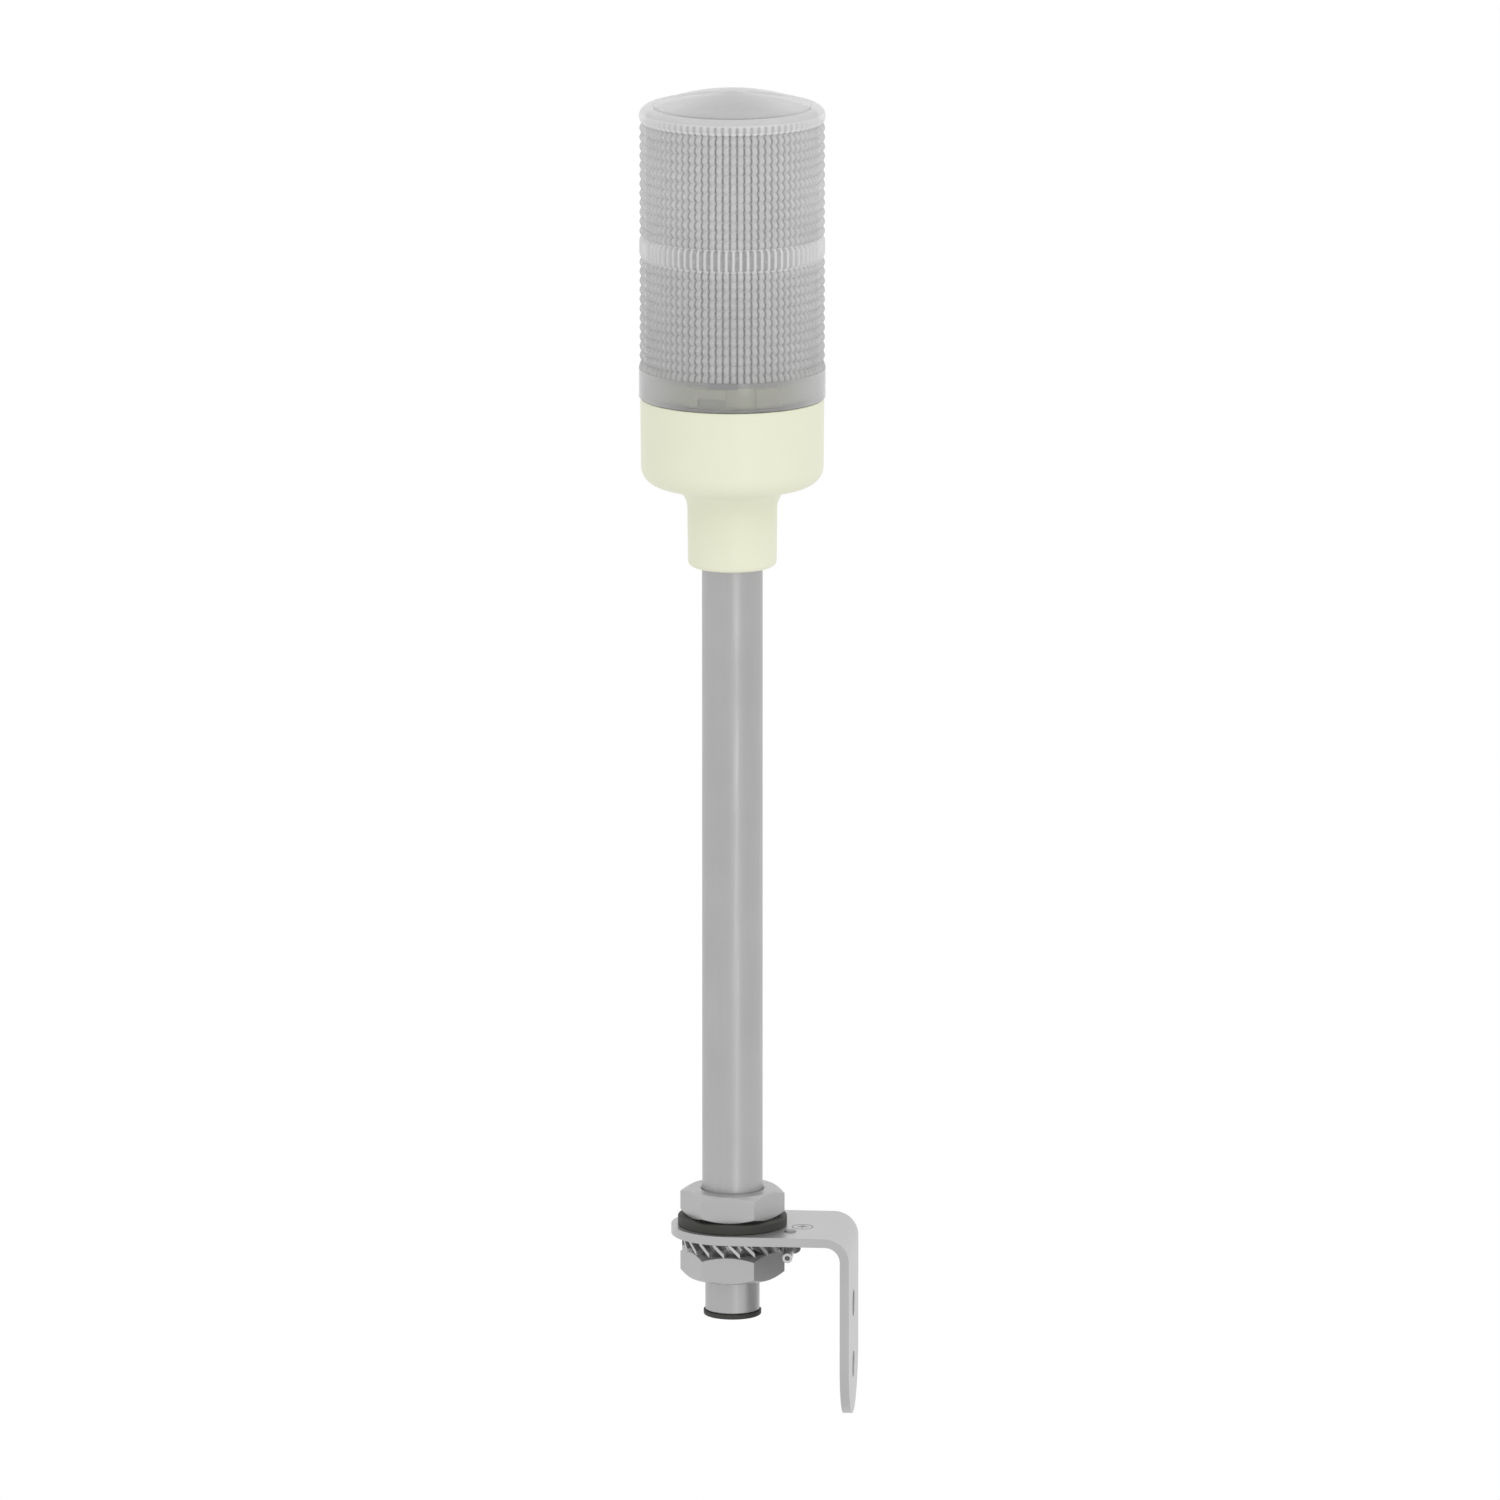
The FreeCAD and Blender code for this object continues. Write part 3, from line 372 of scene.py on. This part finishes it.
RIM_STEP = 1.14 * MM            # joint to the step that holds the seal
RIM_EDGE = 0.3 * MM             # rounding of the rim
LIP = 1.1 * MM                  # width of the rim outside the seal
SHARP = 28                      # degrees between two faces from which their edge is drawn sharp
FLUTES = 80
FLUTE_TURN = -1.1               # degrees from +X to a valley between flutes
FLUTE_DEPTH = 0.8 * MM          # of the round hollows inside
PILLOW_DEPTH = 0.4 * MM         # of the valleys outside
CORNER_SHARE = 0.7              # how much deeper a ring's groove is where a valley crosses it
FLUTE_START = 10.1 * MM         # joint to the flutes' lower ends
FLUTE_END = 93.7 * MM           # joint to their upper ends
TIP_END = 94.9 * MM             # TIP_END: joint to where the flutes' upper ends are still painted on the shoulder
COLUMNS = 6                     # mesh columns in a flute
RING_ROWS = 6                   # mesh rows in a ring
LUGS = 3                        # and as many stop ribs
LUG_WIDTH = 19.0                # degrees
LUG_TURN = -99.0                # degrees from +X to the first lug
STOP_TURN = -91.2               # degrees from +X to the first stop rib
LUG_REACH = 1.5 * MM            # how far lugs and ribs stand in from the wall
LUG_HEIGHT = 2.2 * MM
LUG_LOW = 1.7 * MM              # joint to the lugs' lower faces
STOP_LOW = 7.65 * MM            # joint to the stop ribs' lower faces
LUG_STEPS = 10
HIGHLIGHT_LINE = 0.11                     # HIGHLIGHT_LINE: height of the thin painted highlight line in a groove, in rings
TOP_HIGHLIGHT = 0.34                 # TOP_HIGHLIGHT: top groove to its painted highlight line, in rings
TIP_SHADE = 0.9                  # TIP_SHADE: painted shade, how dark the flutes' upper ends are painted on the plain shoulder, as if seen through it
GROOVE_GAP = 0.22               # GROOVE_GAP: how much of a painted shade line's mark is lost in a groove
GROOVE_GAP_POWER = 6            # and how close to the groove that happens
DOME_SHADE = 0.50                # DOME_SHADE: painted shade, how dark the dome is painted where it faces the view


def ringed(first, rings, looks, highlighted):
    """Rows of one ringed zone, from the rim up: rounded crests between sharp grooves. The three looks are
    those below, along and above the rings. Highlighted says where thin painted highlight lines lie, in rings
    from the first groove."""
    half = RING_ROWS // 2
    turns = [step / RING_ROWS for step in range(-half, rings * RING_ROWS + half + 1)]
    turns += [place + side * HIGHLIGHT_LINE / 2 for place in highlighted for side in (-1, 1)]
    end = max(rings, highlighted[-1])
    rows = []
    for turn in sorted(turns):
        to_crest = 1 - abs(turn - round(turn)) * 2
        look = looks[1 + (turn >= end) - (turn < 0)]
        if look == TIP_LOOK:
            kind, mark = "tip", TIP_SHADE
        else:
            kind, mark = "pillow", 1 - GROOVE_GAP * to_crest ** GROOVE_GAP_POWER
        # painted highlight: rows at these places take the lighter highlight look
        if any(-HIGHLIGHT_LINE / 2 <= turn - place < HIGHLIGHT_LINE / 2 for place in highlighted):
            look = HIGHLIGHT_LOOK
        radius = SIDE - RING_SINK - GROOVE_DEPTH * to_crest ** RING_CURVE
        rows.append((JOINT + first + turn * RING_PITCH, radius, kind, mark, look))
    return rows


def arc(centre_r, centre_z, radius, start, end, steps):
    """Heights and radii along an arc; angles in degrees from the horizontal."""
    angles = [math.radians(start + (end - start) * step / steps) for step in range(steps + 1)]
    return [(centre_z + radius * math.sin(angle), centre_r + radius * math.cos(angle)) for angle in angles]


def plain(places, mark, look):
    """Rows without flutes at the given heights and radii."""
    return [(height, radius, "plain", mark, look) for height, radius in places]


def shoulder(ledge):
    """Rows of the shoulder, from the side up and over to the dome's foot."""
    rows = []
    roll = arc(SIDE - SHOULDER, ledge - SHOULDER, SHOULDER, 0, SHOULDER_END, SHOULDER_STEPS)
    for step, (height, radius) in enumerate(roll):
        # painted shade: the flutes' upper ends painted on the shoulder's lower rows
        if radius > SIDE - SHOULDER and height < JOINT + TIP_END:
            rows.append((height, radius, "tip", TIP_SHADE, TIP_LOOK))
        else:
            # painted shade in the crease, growing towards the dome's foot
            turned = SHOULDER_END * step / SHOULDER_STEPS
            shade = max(0.0, (turned - CREASE_START) / (SHOULDER_END - CREASE_START))
            rows.append((height, radius, "plain", shade, DOME_LOOK))
    return rows


def dome_top(foot_height, foot):
    """Rows of the dome, from above its foot to its middle."""
    edge = 90 - math.degrees(math.asin((foot - DOME_EDGE) / DOME_CURVE))
    dome = arc(0, lens_high.z - DOME_CURVE, DOME_CURVE, edge, DOME_MIDDLE, DOME_STEPS)
    brow = dome[0][0]
    places = []
    for share in DOME_BROW:
        angle = share * math.pi / 2
        height = foot_height + (brow - foot_height) * math.sin(angle)
        places.append((height, foot - DOME_EDGE * (1 - math.cos(angle))))
    return plain(places + dome, DOME_SHADE, DOME_LOOK)


def globe_rows():
    """Rows (height, radius, kind, mark, look) round the globe's section: down the inside, round the rim and
    up the outside. The look is that of the strip from the row to the next one."""
    top = lens_high.z
    ledge = top - DOME_RISE
    under = ledge - DOME_WALL
    bore = SIDE - LENS_WALL
    inner = DOME_CURVE - DOME_WALL
    inner_edge = math.degrees(math.asin((under - top + DOME_CURVE) / inner))
    start = JOINT + FLUTE_START
    end = JOINT + FLUTE_END
    upper = SKIRT + LOWER_RINGS * RING_PITCH + PLAIN_BAND
    tips = JOINT + upper + UPPER_RINGS * RING_PITCH
    round_r = bore - FLUTE_DEPTH - INNER_ROUND
    round_z = under - INNER_ROUND

    inside = arc(0, top - DOME_CURVE, inner, DOME_MIDDLE, inner_edge, DOME_STEPS_INSIDE)
    inside += arc(round_r, round_z, INNER_ROUND, INNER_ROUND_START, 0, ROUND_STEPS)
    rows = plain(inside + [(end, bore - FLUTE_DEPTH)], 0.0, DOME_LOOK)
    rows += [(height, bore, "flute", mark, OPTICS_LOOK)
             for height, mark in ((end, 1), (tips, 1), (tips - HIGHLIGHT_LINE * RING_PITCH, 0), (start, 0))]
    rim = [(start, bore), (JOINT + RIM_STEP, bore), (JOINT + RIM_STEP, SIDE - LIP), (lens_low.z, SIDE - LIP)]
    rim += arc(SIDE - RIM_EDGE, lens_low.z + RIM_EDGE, RIM_EDGE, -90, 0, ROUND_STEPS)
    rows += plain(rim + [(start, SIDE)], 0.0, SKIRT_LOOK)
    rows += [(start, SIDE - RING_SINK, "pillow", 1, OPTICS_LOOK)]
    rows += ringed(SKIRT, LOWER_RINGS, (OPTICS_LOOK, OPTICS_LOOK, BAND_LOOK), [LOWER_RINGS])
    rows += ringed(upper, UPPER_RINGS, (BAND_LOOK, OPTICS_LOOK, TIP_LOOK), [0, UPPER_RINGS + TOP_HIGHLIGHT])
    rows += shoulder(ledge)
    rows += dome_top(*rows[-1][:2])
    return rows


def reach(radius, kind, across):
    """Radius of a point; across runs from 0 in a flute's middle to 1 at its edge."""
    if kind == "flute":
        return radius - FLUTE_DEPTH * across ** 2
    if kind == "pillow":
        groove = SIDE - RING_SINK - radius
        return radius - PILLOW_DEPTH * across ** 3 - CORNER_SHARE * groove * across ** 2
    return radius


def skin(rows):
    """Points, faces, painted shade marks and looks of a skin round the pole's axis, with a cap at each end.
    """
    count = FLUTES * COLUMNS
    points = []
    valleys = []
    for height, radius, kind, mark, look in rows:
        for column in range(count):
            angle = math.radians(FLUTE_TURN + 360 * column / count)
            across = abs(column % COLUMNS / COLUMNS * 2 - 1)
            far = reach(radius, kind, across)
            points.append((pole_x + far * math.cos(angle), far * math.sin(angle), height))
            # painted shade mark of each point
            valleys.append(mark if kind == "plain" else mark * across)
    faces = []
    looks = []
    for row, (*_, look) in enumerate(rows[:-1]):
        low = row * count
        high = low + count
        for column in range(count):
            beside = (column + 1) % count
            faces.append((low + column, low + beside, high + beside, high + column))
            looks.append(look)
    faces.append(tuple(range(count))[::-1])
    faces.append(tuple(range((len(rows) - 1) * count, len(rows) * count)))
    looks += [DOME_LOOK, DOME_LOOK]
    return points, faces, valleys, looks


def sector(points, faces, low, turn):
    """Adds a lug or a stop rib: a piece of a ring on the skirt's inner side."""
    outer = SIDE - LENS_WALL
    inner = outer - LUG_REACH
    high = low + LUG_HEIGHT
    first = len(points)
    for step in range(LUG_STEPS + 1):
        angle = math.radians(turn - LUG_WIDTH / 2 + LUG_WIDTH * step / LUG_STEPS)
        for radius, height in ((outer, low), (outer, high), (inner, high), (inner, low)):
            points.append((pole_x + radius * math.cos(angle), radius * math.sin(angle), JOINT + height))
    for step in range(LUG_STEPS):
        here = first + 4 * step
        for side in range(4):
            beside = (side + 1) % 4
            faces.append((here + side, here + beside, here + 4 + beside, here + 4 + side))
    faces.append((first + 3, first + 2, first + 1, first))
    last = first + 4 * LUG_STEPS
    faces.append((last, last + 1, last + 2, last + 3))


def globe():
    """The detailed globe, which stands for the plainer lens of the frame."""
    points, faces, valleys, looks = skin(globe_rows())
    for low, turn, look in ((LUG_LOW, LUG_TURN, LOW_LUG_LOOK), (STOP_LOW, STOP_TURN, LUG_LOOK)):
        for number in range(LUGS):
            sector(points, faces, low, turn + 360 / LUGS * number)
        looks += [look] * (len(faces) - len(looks))
    mesh = bpy.data.meshes.new("clear_globe")
    mesh.from_pydata(points, [], faces)
    # painted shade marks, read by the globe's materials
    marks = mesh.attributes.new("valley", "FLOAT", "POINT")
    marks.data.foreach_set("value", valleys + [0.0] * (len(points) - len(valleys)))
    mesh.polygons.foreach_set("use_smooth", [True] * len(mesh.polygons))
    mesh.set_sharp_from_angle(angle=math.radians(SHARP))
    for material in GLOBE_LOOKS:
        mesh.materials.append(material)
    mesh.polygons.foreach_set("material_index", looks)
    piece = bpy.data.objects.new("clear_globe", mesh)
    bpy.context.scene.collection.objects.link(piece)
    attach(piece, "globe")
    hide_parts("lens")


globe()


# ---------------------------------------------------------------- the engraved earth sign
SIGN_X = 23.5 * MM              # pole axis to the sign's middle
SIGN_Y = -3.3 * MM
SIGN_RADIUS = 3.5 * MM
SIGN_LINE = 0.24 * MM           # width of its lines
SIGN_PROUD = 0.03 * MM
SIGN_SUNK = 0.03 * MM
SIGN_STEPS = 72
SIGN_STEM = 2.3 * MM
SIGN_BARS = (1.9 * MM, 1.2 * MM, 0.5 * MM)  # half lengths of the three bars, from the stem out
SIGN_BAR_PITCH = 0.8 * MM


def bar(points, faces, low, high):
    """Adds one straight line of the sign between two corners (x, y) from the sign's middle."""
    first = len(points)
    for height in (plate_top - SIGN_SUNK, plate_top + SIGN_PROUD):
        for x, y in ((low[0], low[1]), (high[0], low[1]), (high[0], high[1]), (low[0], high[1])):
            points.append((pole_x + SIGN_X + x, SIGN_Y + y, height))
    faces.append((first + 3, first + 2, first + 1, first))
    faces.append((first + 4, first + 5, first + 6, first + 7))
    for side in range(4):
        beside = (side + 1) % 4
        faces.append((first + side, first + beside, first + 4 + beside, first + 4 + side))


def earth_sign():
    """The general sign for a protective earth, in thin lines on the plate beside the earth screw."""
    points = []
    faces = []
    inner = SIGN_RADIUS - SIGN_LINE
    low = plate_top - SIGN_SUNK
    high = plate_top + SIGN_PROUD
    for step in range(SIGN_STEPS):
        angle = 2 * math.pi * step / SIGN_STEPS
        for radius, height in ((SIGN_RADIUS, low), (SIGN_RADIUS, high), (inner, high), (inner, low)):
            x = pole_x + SIGN_X + radius * math.cos(angle)
            points.append((x, SIGN_Y + radius * math.sin(angle), height))
    for step in range(SIGN_STEPS):
        here = 4 * step
        there = 4 * ((step + 1) % SIGN_STEPS)
        for side in range(4):
            beside = (side + 1) % 4
            faces.append((here + side, there + side, there + beside, here + beside))
    bar(points, faces, (-SIGN_LINE / 2, -SIGN_STEM), (SIGN_LINE / 2, 0))
    for number, half in enumerate(SIGN_BARS):
        away = SIGN_BAR_PITCH * number
        bar(points, faces, (-half, away), (half, away + SIGN_LINE))
    mesh = bpy.data.meshes.new("earth_sign")
    mesh.from_pydata(points, [], faces)
    mesh.materials.append(mark_dark)
    piece = bpy.data.objects.new("earth_sign", mesh)
    bpy.context.scene.collection.objects.link(piece)
    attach(piece, "fixture")


earth_sign()


# ---------------------------------------------------------------- floor, light and camera
FLOOR_SIZE = 40.0               # half its width
FLOOR_DROP = 0.35               # part's lowest point to the floor
LAMP_DISTANCE = 2.5
VIEW_TURN = 4.8                 # degrees from the part's -Y side towards +X
VIEW_PITCH = 11.9               # degrees down
VIEW_DISTANCE = 5.92
VIEW_HEIGHT = 159.9 * MM        # plate's top to the middle of the picture
VIEW_RIGHT = 5.8 * MM           # pole's axis to the middle of the picture
VIEW_REACH = 200                # beyond the floor's far corners
FOCAL_LENGTH = 432              # millimetres, as the camera takes it
SENSOR = 36                     # millimetres too


def seen_directly(nodes, links):
    """1 where the camera sees a thing itself, in a glossy surface or through a clear one, and 0 where the
    thing only lights others."""
    path = nodes.new("ShaderNodeLightPath")
    first = nodes.new("ShaderNodeMath")
    first.operation = "MAXIMUM"
    links.new(path.outputs["Is Camera Ray"], first.inputs[0])
    links.new(path.outputs["Is Glossy Ray"], first.inputs[1])
    second = nodes.new("ShaderNodeMath")
    second.operation = "MAXIMUM"
    links.new(first.outputs["Value"], second.inputs[0])
    links.new(path.outputs["Is Transmission Ray"], second.inputs[1])
    return second.outputs["Value"]


def floor():
    """A plain pale floor, far enough below the hanging bracket to keep its light even."""
    height = cad_low[2] - FLOOR_DROP
    mesh = bpy.data.meshes.new("floor")
    corners = [(FLOOR_SIZE * x, FLOOR_SIZE * y, height) for x, y in ((-1, -1), (1, -1), (1, 1), (-1, 1))]
    mesh.from_pydata(corners, [], [(0, 1, 2, 3)])
    plane = bpy.data.objects.new("floor", mesh)
    bpy.context.scene.collection.objects.link(plane)
    material, shader = new_material("pale_floor")
    nodes = material.node_tree.nodes
    links = material.node_tree.links
    shader.inputs["Base Color"].default_value = (0.9, 0.9, 0.9, 1)
    shader.inputs["Roughness"].default_value = 0.9
    glow = nodes.new("ShaderNodeEmission")
    glow.inputs["Color"].default_value = (1, 1, 1, 1)
    choose = nodes.new("ShaderNodeMixShader")
    output = next(node for node in nodes if node.type == "OUTPUT_MATERIAL")
    links.new(seen_directly(nodes, links), choose.inputs["Fac"])
    links.new(shader.outputs["BSDF"], choose.inputs[1])
    links.new(glow.outputs["Emission"], choose.inputs[2])
    links.new(choose.outputs["Shader"], output.inputs["Surface"])
    mesh.materials.append(material)


def surroundings(ambient):
    """An even studio: white where the camera looks past the object, a softer white as light."""
    world = bpy.data.worlds.new("studio")
    bpy.context.scene.world = world
    world.use_nodes = True
    nodes = world.node_tree.nodes
    links = world.node_tree.links
    nodes.clear()
    output = nodes.new("ShaderNodeOutputWorld")
    seen = nodes.new("ShaderNodeBackground")
    seen.inputs["Color"].default_value = (1, 1, 1, 1)
    light = nodes.new("ShaderNodeBackground")
    light.inputs["Color"].default_value = (ambient, ambient, ambient, 1)
    choose = nodes.new("ShaderNodeMixShader")
    links.new(seen_directly(nodes, links), choose.inputs["Fac"])
    links.new(light.outputs["Background"], choose.inputs[1])
    links.new(seen.outputs["Background"], choose.inputs[2])
    links.new(choose.outputs["Shader"], output.inputs["Surface"])


def softbox(name, azimuth, elevation, size, power):
    """A square soft light that faces the object; azimuth 0 is the -Y side and 90 is the +X side."""
    middle = Vector([(low + high) / 2 for low, high in zip(cad_low, cad_high)])
    across = math.cos(math.radians(elevation))
    away = Vector((
        math.sin(math.radians(azimuth)) * across, -math.cos(math.radians(azimuth)) * across,
        math.sin(math.radians(elevation))))
    lamp = bpy.data.lights.new(name, "AREA")
    lamp.shape = "SQUARE"
    lamp.size = size
    lamp.energy = power
    holder = bpy.data.objects.new(name, lamp)
    holder.location = middle + away * LAMP_DISTANCE
    holder.rotation_euler = away.to_track_quat("Z", "Y").to_euler()
    bpy.context.scene.collection.objects.link(holder)


def camera():
    """A long lens from slightly above and slightly to the leg's side, level with the horizon."""
    turn = math.radians(VIEW_TURN)
    pitch = math.radians(VIEW_PITCH)
    right = Vector((math.cos(turn), math.sin(turn), 0))
    level = Vector((-math.sin(turn), math.cos(turn), 0))
    ahead = level * math.cos(pitch) - Vector((0, 0, math.sin(pitch)))
    aim = Vector((pole_x, 0, plate_top + VIEW_HEIGHT)) + right * VIEW_RIGHT
    data = bpy.data.cameras.new("camera")
    data.sensor_width = SENSOR
    data.lens = FOCAL_LENGTH
    data.clip_end = VIEW_REACH
    holder = bpy.data.objects.new("camera", data)
    holder.location = aim - ahead * VIEW_DISTANCE
    holder.rotation_euler = ahead.to_track_quat("-Z", "Y").to_euler()
    bpy.context.scene.collection.objects.link(holder)
    bpy.context.scene.camera = holder


floor()
surroundings(ambient=0.93)
softbox("key", azimuth=30, elevation=40, size=1.6, power=6.5)
softbox("front_strip", azimuth=20, elevation=-8, size=0.5, power=1.9)
camera()
bpy.context.scene.view_settings.view_transform = "Standard"
